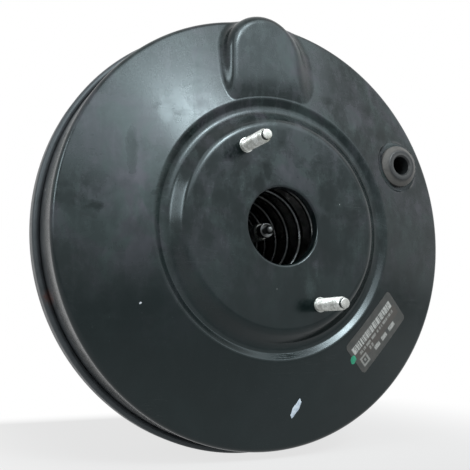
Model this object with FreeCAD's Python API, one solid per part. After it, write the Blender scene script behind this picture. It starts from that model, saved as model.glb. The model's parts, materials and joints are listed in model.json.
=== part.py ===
# Vacuum brake booster with one diaphragm, its valve, output rod, input rod and clevis.
# Millimetres. The axis runs along Y: the master cylinder goes on at -Y, the pedal is at +Y, and +Z is up.
# The origin is on the axis, in the plane of the rear face that sits against the bulkhead.
import math
import os

import FreeCAD
import Part
from FreeCAD import Vector

AXIS = Vector(0, 1, 0)
CENTRE = Vector(0, 0, 0)

# Overall sizes
shell_depth = 120.0
rim_radius = 139.0
sheet = 1.6
body_radius = 21.0

# Clearances: round soft pieces and moving ones, for pieces pressed together, for the guided valve body
gap = 0.3
fit = 0.05
guide_fit = 0.08

# Front shell, as depths behind its flat face
hole_radius = 23.4
hole_fillet = 1.7
collar_depth = 6.0
collar_width = 4.0
flat_radius = 63.7
flat_fillet = 7.0
wall_run = 7.8
valley_radius = flat_radius + wall_run
valley_width = 4.4
valley_depth = 7.9
valley_fillet = 6.5
valley_rise = 2.6
rise_run = 2.7
lip_radius = valley_radius + valley_width + rise_run
lip_depth = 5.35
lip_fillet = 4.0
crest_run = 1.7
lip_crest = lip_radius + crest_run
cone_angle = 14.0
shoulder_fillet = 3.6
side_radius = rim_radius - 4.5
flange_depth = 49.6
flange_radius = rim_radius - 2.0
flange_fillet = 0.8

# Rim where the rear shell is folded over the flange
rim_front = flange_depth - sheet - 0.1
rim_back = rim_front + 11.4
seat_radius = side_radius - 2.2

# Raised pod at the top of the front shell
pod_x = -8.5
pod_half_width = 25.5
pod_depth = 4.9
pod_end_radius = side_radius - 0.4
pod_edge = 6.0
pod_blend = 4.0
pod_slope = 3.3
pod_root = 5.5

# Vacuum inlet
inlet_circle = side_radius - 26.945
inlet_angle = 26.804
pad_radius = 17.0
pad_rise = 0.2
grommet_bore = 6.2
grommet_mouth = 1.0
grommet_flange = 14.0
grommet_proud = 5.0
grommet_hole = 9.5
grommet_barb = 2.5
grommet_tail = 6.0

# Studs: shank pressed through plate and shell, then the threaded length
stud_radius = 4.0
shank_radius = 4.8
stud_chamfer = 1.0
stud_head_radius = 8.0
stud_head = 3.0
dog_radius = 3.0
dog_length = 2.6
front_stud_circle = 53.0
front_stud_angle = 118.0
front_stud_length = 26.5
rear_stud_x = 40.0
rear_stud_z = 30.0
rear_stud_length = 24.0

# Plates behind the studs
front_plate = 3.0
front_plate_radius = flat_radius - 3.2
front_plate_hole = 6.0
front_plate_circle = 45.0
rear_plate = 2.5

# Rear shell
rear_flat_radius = 66.0
rear_shoulder_radius = side_radius - 15.5
rear_shoulder_y = -15.5
rear_cone_height = 22.0
neck_radius = body_radius + 4.2
neck_outer = neck_radius + sheet
neck_length = 18.0
bead_height = 1.0
bead_width = 2.8

# Guide ring, seal and its retainer in the neck
bearing_start = 2.4
bearing_length = 5.6
seal_start = bearing_start + bearing_length + 0.4
seal_length = 5.0
seal_groove = 2.1
seal_lip = 1.2
seal_ring_start = seal_start + seal_length + 0.2
seal_ring_length = 2.4
seal_ring_wall = 1.2

# Main return spring
spring_wire = 4.0
spring_radius = body_radius + 8.0
spring_turns = 6.4

# Valve body
body_end = 66.0
hub_radius = spring_radius + 5.0
hub_front = -24.0
hub_back = -16.0
nose_radius = spring_radius - 2.6
nose_height = 2.0
chamber_radius = body_radius - 5.5
step_height = 0.9
chamber_step = 24.0
chamber_floor = 8.4
disc_seat = -10.0
disc_thickness = 6.0
groove_height = 1.2
passage_width = 8.0
passage_height = 2.2
passage_circle = body_radius - 3.4
window_reach = 4.6
pocket_width = 6.0
pocket_count = 12
pocket_inner = body_radius - 0.5
pocket_outer = pocket_inner + 4.7
pocket_floor = 2.5

# Valve seat on the body, plunger and poppet
seat_circle = chamber_radius - 3.5
seat_height = 2.8
plunger_radius = 8.0
plunger_travel = 1.5
plunger_lip = 1.3
plunger_flange = 1.7
plunger_neck = 5.4
plunger_mouth = 4.6
poppet_lift = 1.1
poppet_bore = 6.6
poppet_wall = 0.6
poppet_thickness = 2.8
poppet_end = 28.0
retainer_start = poppet_end + 0.2
retainer_length = 5.8
retainer_web = retainer_start + 1.4
retainer_wall = 1.2
retainer_bore = 10.2
poppet_spring_wire = 1.2
poppet_spring_radius = 9.4
poppet_spring_turns = 4.5
rod_spring_wire = 1.4
rod_spring_radius = chamber_radius - 4.6
rod_spring_turns = 3.5

# Key that stops the plunger and the piston
key_width = 18.0
key_thickness = 2.4
key_slot = 5.8
key_reach = neck_outer + 2.4
key_corner = 2.0
key_back = -sheet - gap
key_front = key_back - key_thickness

# Foam rings
foam_bore = 8.3
silencer_start = 47.0
silencer_length = 7.6
filter_length = 9.7

# Diaphragm and its support plate
plate_thickness = 1.5
plate_radius = seat_radius - 22.3
plate_rim_y = -34.0
plate_rim_height = 6.0
plate_step_radius = hub_radius + 11.0
plate_step = 3.0
rubber = 1.8
bead_fit = 0.1
roll_depth = 8.0
inner_bead_height = 4.1
inner_bead_width = 3.6

# Dust boot
boot_start = 7.0
boot_folds = 5
boot_crest = neck_outer + 3.8
boot_valley = body_radius + 0.8
boot_wall = 1.3
boot_eye = 9.0
boot_vents = 8
boot_vent = 1.6
boot_vent_circle = 13.5
boot_sleeve = 6.0

# Output rod, and its tip: a collar with a recess, out of which a ball-nosed pin stands
output_tip_y = 21.7 - shell_depth
output_radius = 5.6
output_base = 4.0
output_socket = 16.0
output_socket_radius = 2.9
tip_radius = 4.6
tip_height = 6.5
tip_stem = 14.0
tip_ball = 2.9
tip_reach = 6.0
tip_neck = 2.3
tip_cup = 3.8
tip_cup_depth = 2.0
tip_edge = 0.3
washer_bore = 9.6
washer_thickness = 1.2
washer_dish = 1.5
washer_notches = 6

# Input rod, lock nut and clevis
ball_radius = 5.5
ball_y = 6.0
rod_neck = 3.7
rod_radius = 5.0
rod_taper_start = 16.0
rod_taper_end = 18.0
rod_collar_y = 44.0
rod_collar = 1.4
rod_collar_radius = chamber_radius - 3.3
rod_in_clevis = 14.0
nut_flats = 17.0
nut_thickness = 8.0
nut_chamfer = 1.2
clevis_pin_y = 150.0
clevis_pin_radius = 5.1
clevis_gap = 16.0
clevis_ear = 5.0
clevis_height = 22.0
clevis_root = 17.0
clevis_boss = 20.0
clevis_boss_radius = 9.6
clevis_boss_free = 12.5
clevis_edge = 1.0
clevis_front = clevis_pin_y - clevis_root - clevis_boss


def behind(depth):
    return depth - shell_depth


def left(d):
    return Vector(-d.y, d.x, 0)


def run(a, b):
    d = Vector(b[0] - a[0], b[1] - a[1], 0)
    d.normalize()
    return d


# Outlines are lists of (radius, y) or (radius, y, fillet)
def parallel(points, distance):
    moved = []
    last = len(points) - 1
    for i, point in enumerate(points):
        here = Vector(point[0], point[1], 0)
        if i == 0 or i == last:
            d = run(points[0], points[1]) if i == 0 else run(points[-2], points[-1])
            q = here + left(d) * distance
            moved.append((q.x, q.y))
            continue
        d1 = run(points[i - 1], point)
        d2 = run(point, points[i + 1])
        way = left(d1) + left(d2)
        way.normalize()
        q = here + way * (distance / way.dot(left(d1)))
        turn = d1.x * d2.y - d1.y * d2.x
        radius = point[2] - distance if turn > 0 else point[2] + distance
        moved.append((q.x, q.y, max(radius, gap)))
    return moved


def path(points):
    edges = []
    start = Vector(points[0][0], points[0][1], 0)
    for i in range(1, len(points) - 1):
        point = points[i]
        here = Vector(point[0], point[1], 0)
        if len(point) < 3:
            edges.append(Part.LineSegment(start, here).toShape())
            start = here
            continue
        d1 = run(points[i - 1], point)
        d2 = run(point, points[i + 1])
        half = math.acos(max(-1.0, min(1.0, d1.dot(d2)))) / 2
        reach = point[2] * math.tan(half)
        a = here - d1 * reach
        b = here + d2 * reach
        way = d2 - d1
        way.normalize()
        middle = here + way * (point[2] / math.cos(half) - point[2])
        edges.append(Part.LineSegment(start, a).toShape())
        edges.append(Part.Arc(a, middle, b).toShape())
        start = b
    end = Vector(points[-1][0], points[-1][1], 0)
    edges.append(Part.LineSegment(start, end).toShape())
    return edges


def turned(edges):
    face = Part.Face(Part.Wire(Part.__sortEdges__(edges)))
    return face.revolve(CENTRE, AXIS, 360)


def ring(points):
    return turned(path(list(points) + [points[0][:2]]))


def pressed(points, thickness):
    inner = parallel(points, thickness)
    edges = path(points) + path(inner)
    for a, b in ((points[0], inner[0]), (points[-1], inner[-1])):
        edges.append(Part.LineSegment(Vector(a[0], a[1], 0), Vector(b[0], b[1], 0)).toShape())
    return turned(edges)


def tube(inner, outer, y0, y1):
    return ring([(inner, y0), (outer, y0), (outer, y1), (inner, y1)])


def rod(radius, y0, y1, x=0.0, z=0.0):
    return Part.makeCylinder(radius, y1 - y0, Vector(x, y0, z), AXIS)


def block(x0, x1, y0, y1, z0, z1):
    return Part.makeBox(x1 - x0, y1 - y0, z1 - z0, Vector(x0, y0, z0))


def joined(shapes):
    whole = shapes[0].fuse(shapes[1:])
    return whole.removeSplitter()


def coil(radius, wire, y0, y1, turns):
    steps = 14
    closed = 0.75
    low = y0 + wire / 2
    high = y1 - wire / 2
    dead = (wire + 0.2) * closed
    open_pitch = (high - low - 2 * dead) / (turns - 2 * closed)
    points = []
    for i in range(int(turns * steps) + 1):
        t = i / steps
        start = min(t, closed)
        finish = max(0.0, t - (turns - closed))
        middle = t - start - finish
        y = low + dead * (start + finish) / closed + open_pitch * middle
        points.append(Vector(radius * math.cos(2 * math.pi * t), y, radius * math.sin(2 * math.pi * t)))
    curve = Part.BSplineCurve()
    curve.interpolate(points)
    spine = Part.Wire([curve.toShape()])
    tangent = curve.tangent(curve.FirstParameter)[0]
    section = Part.Wire([Part.makeCircle(wire / 2, points[0], tangent)])
    return spine.makePipeShell([section], True, True)


def hexagon(flats, y0, y1):
    radius = flats / math.sqrt(3)
    corners = [Vector(radius * math.cos(math.radians(60 * i)), y0, radius * math.sin(math.radians(60 * i)))
               for i in range(7)]
    return Part.Face(Part.makePolygon(corners)).extrude(Vector(0, y1 - y0, 0))


# Front shell
def cone_depth(radius):
    return lip_depth + (radius - lip_radius) * math.tan(math.radians(cone_angle))


def shoulder_depth():
    return cone_depth(side_radius)


def pad_depth():
    return cone_depth(inlet_circle) - pad_rise


def front_path():
    return [
        (flat_radius, behind(0), flat_fillet),
        (valley_radius, behind(valley_depth), valley_fillet),
        (valley_radius + valley_width, behind(valley_depth), valley_rise),
        (lip_radius, behind(lip_depth), lip_fillet),
        (side_radius, behind(shoulder_depth()), shoulder_fillet),
        (side_radius, behind(flange_depth), flange_fillet),
        (flange_radius, behind(flange_depth)),
    ]


def pod_centre(shrink):
    return math.sqrt((pod_end_radius - shrink) ** 2 - pod_x ** 2) - (pod_half_width - shrink)


def pod(shrink):
    half = pod_half_width - shrink
    top = behind(pod_depth + shrink)
    deep = behind(shoulder_depth() + pod_root)
    centre_z = pod_centre(shrink)
    foot = lip_radius / 2
    a = Vector(pod_x - half, top, foot)
    b = Vector(pod_x - half, top, centre_z)
    c = Vector(pod_x, top, centre_z + half)
    d = Vector(pod_x + half, top, centre_z)
    e = Vector(pod_x + half, top, foot)
    outline = [
        Part.LineSegment(a, b).toShape(),
        Part.Arc(b, c, d).toShape(),
        Part.LineSegment(d, e).toShape(),
        Part.LineSegment(e, a).toShape(),
    ]
    body = Part.Face(Part.Wire(outline)).extrude(Vector(0, deep - top, 0))
    edges = [edge for edge in body.Edges
             if abs(edge.BoundBox.YMin - top) < 0.01 and abs(edge.BoundBox.YMax - top) < 0.01
             and edge.BoundBox.ZMax > foot + 1]
    body = body.makeFillet(pod_edge - shrink, edges)
    core = rod(lip_crest - shrink / 4, behind(-pod_depth), behind(flange_depth))
    return body.cut(core)


# What is taken off the pod where its flat top runs down to the lip
def pod_foot(shrink):
    inner = lip_crest - shrink / 4
    outer = inner + pod_slope
    front = behind(0)
    return ring([(inner, front), (outer, front), (outer, behind(pod_depth + shrink)),
                 (inner, behind(cone_depth(lip_crest) + shrink))])


# The edges where the pod leaves the cone and the shoulder, rounded
def blended(shape, shrink):
    half = pod_half_width - shrink
    centre_z = pod_centre(shrink)
    seam = []
    for edge in shape.Edges:
        m = edge.valueAt((edge.FirstParameter + edge.LastParameter) / 2)
        rises = edge.BoundBox.YLength > 0.5 and m.y < behind(shoulder_depth())
        on_flank = abs(abs(m.x - pod_x) - half) < 0.05 and lip_radius / 2 < m.z < centre_z
        on_end = m.z > centre_z and abs(math.hypot(m.x - pod_x, m.z - centre_z) - half) < 0.05
        curved = edge.Curve.TypeId != "Part::GeomLine"
        if rises and curved and (on_flank or on_end):
            seam.append(edge)
    return shape.makeFillet(pod_blend + shrink, seam)


def inlet_place():
    angle = math.radians(inlet_angle)
    return inlet_circle * math.cos(angle), inlet_circle * math.sin(angle)


# Everything behind the outline, with the pod and the inlet's flat pad, shrunk by a wall for the inside
def front_form(points, shrink, back):
    body = ring([(0, points[0][1])] + points[1:] + [(flange_radius, back), (0, back)])
    body = blended(body.fuse(pod(shrink)).removeSplitter(), shrink).cut(pod_foot(shrink))
    x, z = inlet_place()
    pad = behind(pad_depth() + shrink)
    body = body.cut(rod(pad_radius + shrink, behind(-1), pad, x, z))
    return body.fuse(rod(pad_radius - shrink, pad, behind(shoulder_depth() + pod_root), x, z))


def front_shell():
    outline = [(hole_radius + collar_width, behind(0))] + front_path()
    inner = parallel(outline, sheet)
    back = behind(flange_depth + sheet)
    shell = front_form(outline, 0, back).cut(front_form(inner, sheet, back + 1))
    shell = shell.cut(rod(hole_radius + collar_width, behind(-1), back))
    collar = pressed([(hole_radius, behind(collar_depth)), (hole_radius, behind(0), hole_fillet),
                      (hole_radius + collar_width, behind(0))], sheet)
    shell = joined([shell, collar])
    x, z = inlet_place()
    shell = shell.cut(rod(grommet_hole, behind(0), behind(flange_depth), x, z))
    for x, z in front_stud_places():
        shell = shell.cut(rod(shank_radius + fit, behind(-1), behind(valley_depth), x, z))
    return shell


def front_stud_places():
    places = []
    for i in range(2):
        angle = math.radians(front_stud_angle + 180 * i)
        places.append((front_stud_circle * math.cos(angle), front_stud_circle * math.sin(angle)))
    return places


def front_stud_plate():
    y = behind(sheet)
    back = y + front_plate
    inner = hole_radius + sheet + gap
    plate = ring([(inner, y), (front_plate_radius, y), (front_plate_radius, back, 1.0), (inner, back)])
    for x, z in front_stud_places():
        plate = plate.cut(rod(shank_radius + fit, y - 1, back + 1, x, z))
    for i in range(4):
        angle = math.radians(front_stud_angle + 45 + 90 * i)
        x = front_plate_circle * math.cos(angle)
        z = front_plate_circle * math.sin(angle)
        plate = plate.cut(rod(front_plate_hole, y - 1, back + 1, x, z))
    return plate


# A stud from its seat on the plate, with the points of its end given as (radius, length)
def stud(shank, end, seat, way, x, z):
    points = [(0, -stud_head), (stud_head_radius, -stud_head), (stud_head_radius, 0), (shank_radius, 0),
              (shank_radius, shank), (stud_radius, shank)] + end
    body = ring([(r, seat + way * y) for r, y in points])
    body.translate(Vector(x, 0, z))
    return body


def front_studs():
    shank = sheet + front_plate
    tip = front_stud_length + shank
    thread = tip - dog_length
    end = [(stud_radius, thread - stud_chamfer), (dog_radius, thread), (dog_radius, tip - stud_chamfer / 2),
           (dog_radius - stud_chamfer / 2, tip), (0, tip)]
    return [stud(shank, end, behind(shank), -1, x, z) for x, z in front_stud_places()]


# Rear shell
def rear_path():
    return [
        (side_radius + 0.6, behind(rim_front)),
        (rim_radius, behind(rim_front), 2.2),
        (rim_radius, behind(rim_back), 2.0),
        (seat_radius, behind(rim_back), 1.0),
        (seat_radius, rear_shoulder_y - rear_cone_height, 10.0),
        (rear_shoulder_radius, rear_shoulder_y, 16.0),
        (rear_flat_radius, 0, 8.0),
        (neck_outer, 0, 2.0),
        (neck_outer, neck_length),
    ]


def rear_stud_places():
    return [(rear_stud_x * i, rear_stud_z * j) for i in (-1, 1) for j in (-1, 1)]


def rear_shell():
    root = neck_outer - sheet / 4
    crest = neck_outer + bead_height
    start = neck_length - bead_width
    bead = ring([(root, start), (neck_outer, start), (crest, start + 1.2), (crest, neck_length - 0.6),
                 (neck_outer + 0.4, neck_length), (root, neck_length)])
    shell = joined([pressed(rear_path(), sheet), bead])
    for x, z in rear_stud_places():
        shell = shell.cut(rod(shank_radius + fit, -2 * sheet, sheet, x, z))
    return shell


def rear_stud_plate():
    y = -sheet
    front = y - rear_plate
    inner = neck_outer + 4.5
    outer = rear_flat_radius - 5.0
    plate = ring([(inner, front), (outer, front, 1.0), (outer, y), (inner, y)])
    for x, z in rear_stud_places():
        plate = plate.cut(rod(shank_radius + fit, front - 1, y + 1, x, z))
    return plate


def rear_studs():
    shank = sheet + rear_plate
    tip = rear_stud_length + shank
    end = [(stud_radius, tip - stud_chamfer), (stud_radius - stud_chamfer, tip), (0, tip)]
    return [stud(shank, end, -shank, 1, x, z) for x, z in rear_stud_places()]


# Inlet and neck
def vacuum_grommet():
    face = behind(pad_depth())
    lip = face - grommet_proud
    inside = face + sheet
    barb = grommet_hole + grommet_barb
    tail = inside + grommet_tail
    body = ring([
        (grommet_bore, lip + grommet_mouth), (grommet_bore + grommet_mouth, lip),
        (grommet_flange - 4, lip, 1.5), (grommet_flange, lip + 3.2, 1.2), (grommet_flange, face),
        (grommet_hole, face), (grommet_hole, inside), (barb, inside), (barb, inside + grommet_tail / 2),
        (grommet_hole, tail), (grommet_bore, tail),
    ])
    x, z = inlet_place()
    body.translate(Vector(x, 0, z))
    return body


def neck_bearing():
    return tube(body_radius + guide_fit, neck_radius - fit, bearing_start, bearing_start + bearing_length)


def neck_seal():
    bore = body_radius + gap
    out = neck_radius - fit
    start = seal_start
    end = start + seal_length
    groove = start + seal_groove
    return ring([(bore, start), (bore + seal_lip, start), (bore + seal_lip, groove), (out - seal_lip, groove),
                 (out - seal_lip, start), (out, start), (out, end), (bore + 0.8, end), (bore, end - 1.0)])


def seal_retainer():
    bore = body_radius + 0.5
    out = neck_radius - fit
    start = seal_ring_start
    end = start + seal_ring_length
    wall = seal_ring_wall
    return ring([(bore, start), (out, start), (out, end), (out - wall, end), (out - wall, start + wall),
                 (bore, start + wall)])


def return_spring():
    front = behind(sheet + front_plate) + gap
    return coil(spring_radius, spring_wire, front, hub_front - gap, spring_turns)


# Rubber boot over the neck and the valve body
def boot_path():
    clip = neck_outer + gap
    over_bead = clip + bead_height + 0.2
    first = neck_length + 1.0
    last = body_end - boot_sleeve
    end = body_end + gap
    sleeve = body_radius + gap
    pitch = (last - first) / boot_folds
    points = [
        (clip, boot_start),
        (clip, neck_length - 2.6, 0.6),
        (over_bead, neck_length - 1.4, 0.6),
        (over_bead, first, 1.0),
    ]
    for i in range(boot_folds):
        y = first + pitch * i
        if i > 0:
            points.append((boot_valley, y, 2.0))
        points.append((boot_crest, y + pitch / 2, 1.2))
    points.append((sleeve + 1.5, last + 1.0, 2.0))
    points.append((sleeve, last + 3.0, 0.6))
    points.append((sleeve, end, 0.6))
    points.append((boot_eye, end))
    return points


def dust_boot():
    end = body_end + gap
    body = pressed(boot_path(), -boot_wall)
    for i in range(boot_vents):
        angle = math.radians(360 * (i + 0.5) / boot_vents)
        x = boot_vent_circle * math.cos(angle)
        z = boot_vent_circle * math.sin(angle)
        body = body.cut(rod(boot_vent, end - 1, end + boot_wall + 1, x, z))
    return body


# Support plate and the diaphragm that lies on it, out to the bead at the rim
def plate_path():
    back = hub_back + plate_thickness
    return [
        (plate_radius, plate_rim_y),
        (plate_radius, back - plate_rim_height, 5.0),
        (plate_step_radius, back + plate_step, 3.0),
        (hub_radius + 4, back, 3.0),
        (body_radius - 0.1, back),
    ]


def diaphragm_plate():
    return pressed(plate_path(), plate_thickness)


def diaphragm():
    front = behind(flange_depth + sheet) + bead_fit
    back = behind(rim_back - sheet) - bead_fit
    web = front + 3.4
    inside = seat_radius - sheet - 1.2 - rubber
    on_plate = parallel(plate_path(), -gap)
    edge, y0 = on_plate[0][0], on_plate[-1][1]
    skin = pressed([
        (seat_radius + 1.5, web),
        (inside, web, 2.4),
        (inside, plate_rim_y - roll_depth, 5.0),
        (edge, plate_rim_y + 4.0, 4.5),
    ] + on_plate[1:-1] + [(body_radius + 1.2, y0)], -rubber)
    bead_radius = side_radius - sheet + 0.4
    rim_inside = rim_radius - sheet - gap
    outer_bead = ring([(bead_radius, front), (rim_inside, front, 0.8), (rim_inside, back, 0.8),
                       (bead_radius, back)])
    root = body_radius - 0.4
    top = y0 + inner_bead_height
    inner_bead = ring([(root, y0), (root + inner_bead_width, y0), (root + inner_bead_width, top, 0.8),
                       (root, top)])
    return joined([skin, outer_bead, inner_bead])


# Valve body: nose in the spring, hub, groove for the diaphragm's bead and long tail through the neck
def valve_outside():
    groove = disc_seat + 0.3
    land = groove + 2.2
    crest = body_radius + groove_height
    return ring([
        (0, hub_front - nose_height), (nose_radius, hub_front - nose_height, 0.8), (nose_radius, hub_front),
        (hub_radius, hub_front, 1.5), (hub_radius, hub_back), (body_radius - 0.5, hub_back),
        (body_radius - 0.5, groove), (crest, groove, 0.5), (crest, land, 0.5), (body_radius, land + 1.0),
        (body_radius, body_end - 1), (body_radius - 1, body_end), (0, body_end),
    ])


def valve_chamber():
    narrow = chamber_radius - step_height
    top = chamber_floor + seat_height
    return ring([
        (0, chamber_floor), (seat_circle - 1.2, chamber_floor), (seat_circle - 0.6, top),
        (seat_circle + 0.6, top), (seat_circle + 1.2, chamber_floor), (narrow, chamber_floor),
        (narrow, chamber_step), (chamber_radius, chamber_step), (chamber_radius, body_end + 1),
        (0, body_end + 1),
    ])


# One air passage from the front of the hub to the chamber, above or below the axis
def passage(side):
    half = passage_width / 2
    inner = passage_circle - passage_height / 2
    outer = passage_circle + passage_height / 2
    channel = block(-half, half, hub_front - 3, chamber_floor, inner, outer)
    window = block(-half, half, chamber_floor - 3, chamber_floor + 2, passage_circle - window_reach,
                   passage_circle)
    both = channel.fuse(window)
    both.rotate(CENTRE, AXIS, 0 if side > 0 else 180)
    return both


def valve_body():
    half = key_width / 2 + gap
    body = valve_outside().cut(valve_chamber())
    body = body.cut(rod(chamber_radius, hub_front - 3, disc_seat))
    body = body.cut(rod(plunger_radius + fit, disc_seat - 1, chamber_floor + 1))
    body = body.cut(block(-2 * key_reach, 2 * key_reach, key_front - plunger_travel - gap, key_back + gap,
                          -half, half))
    body = body.cut(passage(1)).cut(passage(-1))
    for i in range(pocket_count):
        pocket = block(-pocket_width / 2, pocket_width / 2, hub_front - 3, hub_back - pocket_floor,
                       pocket_inner, pocket_outer)
        pocket.rotate(CENTRE, AXIS, 360 * (i + 0.5) / pocket_count)
        body = body.cut(pocket)
    return body


def stop_key():
    half = key_width / 2
    key = block(-key_reach, key_reach, key_front, key_back, -half, half)
    slot = block(0, key_reach + 1, key_front - 1, key_back + 1, -key_slot, key_slot)
    slot = slot.fuse(rod(key_slot, key_front - 1, key_back + 1))
    key = key.cut(slot)
    corners = [edge for edge in key.Edges
               if abs(edge.BoundBox.YLength - key_thickness) < 0.01
               and abs(abs(edge.CenterOfMass.x) - key_reach) < 0.01
               and abs(abs(edge.CenterOfMass.z) - half) < 0.01]
    return key.makeFillet(key_corner, corners)


# The plunger's front stays clear of the disc over its whole travel
def valve_plunger():
    start = disc_seat + plunger_travel + gap
    socket = ball_radius + 0.1
    lip_y = ball_y + math.sqrt(socket ** 2 - plunger_mouth ** 2)
    back = chamber_floor + seat_height + 0.8
    flange = plunger_radius + plunger_lip
    profile = path([
        (0, ball_y - socket), (0, start), (plunger_radius - 0.6, start), (plunger_radius, start + 0.6),
        (plunger_radius, key_front - 0.2), (plunger_neck, key_front - 0.2), (plunger_neck, key_back + 0.2),
        (plunger_radius, key_back + 0.2), (plunger_radius, back - plunger_flange),
        (flange, back - plunger_flange), (flange, back), (plunger_mouth + 1.8, back),
        (plunger_mouth, lip_y),
    ])
    bottom = Vector(0, ball_y - socket, 0)
    arc = Part.Arc(Vector(plunger_mouth, lip_y, 0), Vector(socket, ball_y, 0), bottom)
    return turned(profile + [arc.toShape()])


def poppet_face():
    return chamber_floor + seat_height + poppet_lift


def poppet_valve():
    face = poppet_face()
    back = face + poppet_thickness
    rim = chamber_radius - gap
    wall = chamber_radius - 1.9
    inside = wall - 2 * poppet_wall
    return ring([
        (poppet_bore, face), (wall - poppet_wall, face), (wall, face + 1), (wall, chamber_step + 0.2),
        (rim, chamber_step + 0.2), (rim, poppet_end), (chamber_radius - 2.4, poppet_end),
        (inside, poppet_end - 2), (inside, back), (poppet_bore, back),
    ])


def poppet_retainer():
    rim = chamber_radius - gap
    wall = rim - retainer_wall
    back = retainer_web + retainer_wall
    end = retainer_start + retainer_length
    return ring([
        (retainer_bore, retainer_web), (chamber_radius - 3, retainer_web, 0.4),
        (chamber_radius - 1.6, retainer_start), (rim, retainer_start), (rim, end), (wall, end), (wall, back),
        (retainer_bore, back),
    ])


def poppet_spring():
    return coil(poppet_spring_radius, poppet_spring_wire, poppet_face() + poppet_thickness + 0.1,
                retainer_web - 0.1, poppet_spring_turns)


def rod_spring():
    return coil(rod_spring_radius, rod_spring_wire, retainer_web + retainer_wall + 0.1,
                rod_collar_y - 0.2, rod_spring_turns)


def silencer():
    return tube(foam_bore, chamber_radius - gap, silencer_start, silencer_start + silencer_length)


def air_filter():
    start = silencer_start + silencer_length + gap
    return tube(foam_bore, chamber_radius - gap, start, start + filter_length)


# Reaction disc and output rod
def reaction_disc():
    out = chamber_radius - gap
    front = disc_seat - disc_thickness
    return ring([(0, front), (out, front, 0.5), (out, disc_seat, 0.5), (0, disc_seat)])


def output_rod():
    base = disc_seat - disc_thickness
    face = base - output_base
    end = output_tip_y + tip_height
    floor = end + output_socket
    head = chamber_radius - gap
    return ring([
        (0, base), (0, floor), (output_socket_radius, floor), (output_socket_radius, end),
        (output_radius - 0.8, end), (output_radius, end + 0.8), (output_radius, face - 3, 2.0),
        (washer_bore - 0.6, face, 1.0), (head, face), (head, base),
    ])


def output_rod_tip():
    end = output_tip_y + tip_height
    stem = output_socket_radius - 0.1
    ball_centre = output_tip_y - tip_reach + tip_ball
    floor = output_tip_y + tip_cup_depth
    nose = []
    steps = 8
    last = 180 - math.degrees(math.asin(tip_neck / tip_ball))
    for i in range(steps + 1):
        angle = math.radians(last * i / steps)
        nose.append((tip_ball * math.sin(angle), ball_centre - tip_ball * math.cos(angle)))
    cup = [(tip_neck, floor), (tip_cup, floor), (tip_cup, output_tip_y), (tip_radius, output_tip_y, tip_edge)]
    return ring(nose + cup + [(tip_radius, end - 1.0), (stem, end - 1.0), (stem, end + tip_stem),
                              (0, end + tip_stem)])


def output_rod_retainer():
    base = disc_seat - disc_thickness - output_base - 0.2
    front = base - washer_dish
    wall = washer_thickness
    out = chamber_radius - fit
    washer = ring([(washer_bore, front), (washer_bore + 2.4, front), (out, base), (out, base - wall),
                   (washer_bore + 2.8, front - wall), (washer_bore, front - wall)])
    for i in range(washer_notches):
        notch = block(-1.5, 1.5, front - 2 * wall, base + 1, chamber_radius - 2.9, chamber_radius + 1)
        notch.rotate(CENTRE, AXIS, 360 * i / washer_notches)
        washer = washer.cut(notch)
    return washer


# Input rod, nut and clevis
def input_rod():
    y1 = ball_y + math.sqrt(ball_radius ** 2 - rod_neck ** 2)
    end = clevis_front + rod_in_clevis
    bottom = Vector(0, ball_y - ball_radius, 0)
    arc = Part.Arc(bottom, Vector(ball_radius, ball_y, 0), Vector(rod_neck, y1, 0))
    collar = rod_collar_y
    profile = path([
        (rod_neck, y1), (rod_neck, rod_taper_start), (rod_radius, rod_taper_end), (rod_radius, collar),
        (rod_collar_radius, collar), (rod_collar_radius, collar + rod_collar),
        (rod_radius, collar + rod_collar), (rod_radius, end - 1), (rod_radius - 1, end), (0, end),
        (0, ball_y - ball_radius),
    ])
    return turned(profile + [arc.toShape()])


def lock_nut():
    y1 = clevis_front - fit
    y0 = y1 - nut_thickness
    corner = nut_flats / math.sqrt(3) + 0.2
    face = nut_flats / 2 - gap
    mask = ring([(0, y0), (face, y0), (corner, y0 + nut_chamfer), (corner, y1 - nut_chamfer), (face, y1),
                 (0, y1)])
    return hexagon(nut_flats, y0, y1).common(mask).cut(rod(rod_radius + 0.02, y0 - 1, y1 + 1))


def across(radius, half, y):
    return Part.makeCylinder(radius, 2 * half, Vector(-half, y, 0), Vector(1, 0, 0))


def clevis():
    half = clevis_gap / 2 + clevis_ear
    tall = clevis_height / 2
    start = clevis_front + clevis_boss_free
    root = clevis_pin_y - clevis_root
    back = clevis_pin_y + tall
    corner = math.hypot(half, tall) + 1
    fork = block(-half, half, start, clevis_pin_y, -tall, tall).fuse(across(tall, half, clevis_pin_y))
    fork = fork.removeSplitter()
    rims = [edge for edge in fork.Edges if edge.BoundBox.XLength < 0.01]
    fork = fork.makeFillet(clevis_edge, rims)
    turned_form = ring([
        (0, clevis_front), (clevis_boss_radius, clevis_front, 1.0), (clevis_boss_radius, start),
        (corner, start + corner - clevis_boss_radius), (corner, back + 1), (0, back + 1),
    ])
    body = fork.common(turned_form).fuse(rod(clevis_boss_radius, clevis_front, root).common(turned_form))
    slot = block(-clevis_gap / 2, clevis_gap / 2, root, back + 1, -tall - 1, tall + 1)
    body = body.removeSplitter().cut(slot)
    body = body.cut(rod(rod_radius + 0.02, clevis_front - 1, root + 1))
    return body.cut(across(clevis_pin_radius, half + 1, clevis_pin_y))


def export(name, shapes):
    shapes = shapes if isinstance(shapes, list) else [shapes]
    solids = []
    for shape in shapes:
        solids.extend(shape.Solids)
    whole = solids[0] if len(solids) == 1 else Part.makeCompound(solids)
    whole.exportStep(os.path.join("parts", name + ".step"))
    print(name, len(solids), all(s.isValid() for s in solids), round(sum(s.Volume for s in solids), 1))


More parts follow.
